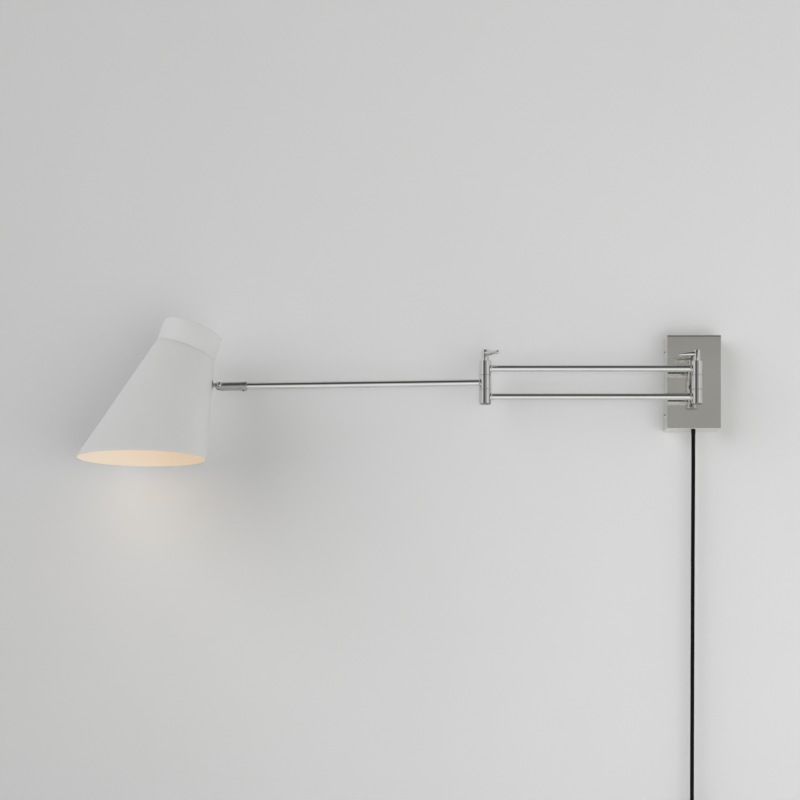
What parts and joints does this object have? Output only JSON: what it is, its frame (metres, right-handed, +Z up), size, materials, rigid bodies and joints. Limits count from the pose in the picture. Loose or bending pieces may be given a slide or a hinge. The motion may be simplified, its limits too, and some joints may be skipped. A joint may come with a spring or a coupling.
{
  "type": "swing arm wall sconce",
  "caption": "Swing arm wall lamp: polished wall box, parallel-rod inner arm, single-rod outer arm, clamp levers, leaning white cone shade and a black plug-in cord.",
  "frame": {"origin": "centre of the mounting plate's back face, on the wall", "axes": "+Y into the wall, +X to the right along the wall seen from the room, +Z up"},
  "size_m": [0.9923, 0.2018, 0.9734],
  "materials": {
    "chrome": "polished nickel or chrome plate, mirror bright",
    "shade_white": "satin white enamel",
    "zinc": "zinc plated steel",
    "brass": "bright nickel-free brass",
    "cord_black": "black PVC cord jacket",
    "black_plastic": "black moulded plastic",
    "holder_white": "glazed white lamp holder",
    "opal_glass": "opal bulb glass, lit",
    "black_steel": "blackened steel"
  },
  "bodies": {
    "wall_box": {"mounting_plate": "zinc", "wall_cover": "chrome", "cover_screws": "chrome", "wall_hub": "chrome", "hub_washer": "zinc", "hub_nut": "zinc", "wall_pivot_bolt": "chrome", "wall_washers": "chrome", "terminal_block": "holder_white", "terminal_screws": "brass", "clamp_base": "zinc", "clamp_bar": "zinc", "clamp_screws": "zinc", "box_leads": "cord_black", "cord_relief": "black_plastic", "mains_cord": "cord_black", "cord_lower": "cord_black", "cord_coil": "cord_black", "coil_tie": "black_plastic", "plug_lead": "cord_black", "plug_body": "black_plastic", "plug_pins": "brass", "switch_back": "black_plastic", "switch_front": "black_plastic", "switch_screws": "zinc", "switch_contacts": "brass"},
    "rocker": {"switch_rocker": "black_plastic"},
    "wall_clamp_lever": {"wall_lever": "chrome"},
    "inner_arm": {"upper_rod": "chrome", "lower_rod": "chrome", "wall_top_collar": "chrome", "wall_bottom_collar": "chrome", "elbow_top_collar": "chrome", "elbow_bottom_collar": "chrome", "elbow_pivot_bolt": "chrome", "elbow_washers": "chrome", "inner_arm_wire": "cord_black"},
    "elbow_clamp_lever": {"elbow_lever": "chrome"},
    "outer_arm": {"elbow_hub": "chrome", "outer_rod": "chrome", "outer_arm_wire": "cord_black"},
    "swivel": {"swivel_sleeve": "chrome", "swivel_ring": "chrome", "set_screw": "black_steel", "tilt_screw": "chrome", "tilt_nut": "chrome"},
    "shade": {"shade_stud": "chrome", "stud_nut": "zinc", "shade_shell": "shade_white", "shade_cap": "shade_white", "holder_bracket": "zinc", "holder_nipple": "zinc", "nipple_nut": "zinc", "holder_cap": "holder_white", "holder_body": "holder_white", "holder_contacts": "brass", "bulb_base": "zinc", "bulb_glass": "opal_glass", "shade_lead": "cord_black"}
  },
  "joints": [
    {"name": "wall_pivot", "type": "hinge", "parent": "wall_box", "child": "inner_arm", "pos_m": [0, -0.057, -0.0056], "axis": [0, 0, 1], "range_deg": [0, 170]},
    {"name": "elbow_pivot", "type": "hinge", "parent": "inner_arm", "child": "outer_arm", "pos_m": [-0.319, -0.057, -0.0056], "axis": [0, 0, -1], "range_deg": [-165, 165]},
    {"name": "wall_lever_turn", "type": "hinge", "parent": "wall_box", "child": "wall_clamp_lever", "pos_m": [0, -0.057, 0.0374], "axis": [0, 0, 1], "range_deg": [-30, 90]},
    {"name": "elbow_lever_turn", "type": "hinge", "parent": "inner_arm", "child": "elbow_clamp_lever", "pos_m": [-0.319, -0.057, 0.0374], "axis": [0, 0, 1], "range_deg": [-45, 90]},
    {"name": "shade_swivel", "type": "hinge", "parent": "outer_arm", "child": "swivel", "pos_m": [-0.69756, -0.08812, -0.01687], "axis": [-0.9962, -0.0819, -0.0297], "range_deg": [-90, 90]},
    {"name": "shade_tilt", "type": "hinge", "parent": "swivel", "child": "shade", "pos_m": [-0.71654, -0.08954, -0.01594], "axis": [-0.0788, 0.9924, -0.0941], "range_deg": [-60, 60]},
    {"name": "rocker_turn", "type": "hinge", "parent": "wall_box", "child": "rocker", "pos_m": [-0.0005, -0.0255, -0.685], "axis": [1, 0, 0], "range_deg": [-14, 0]}
  ]
}
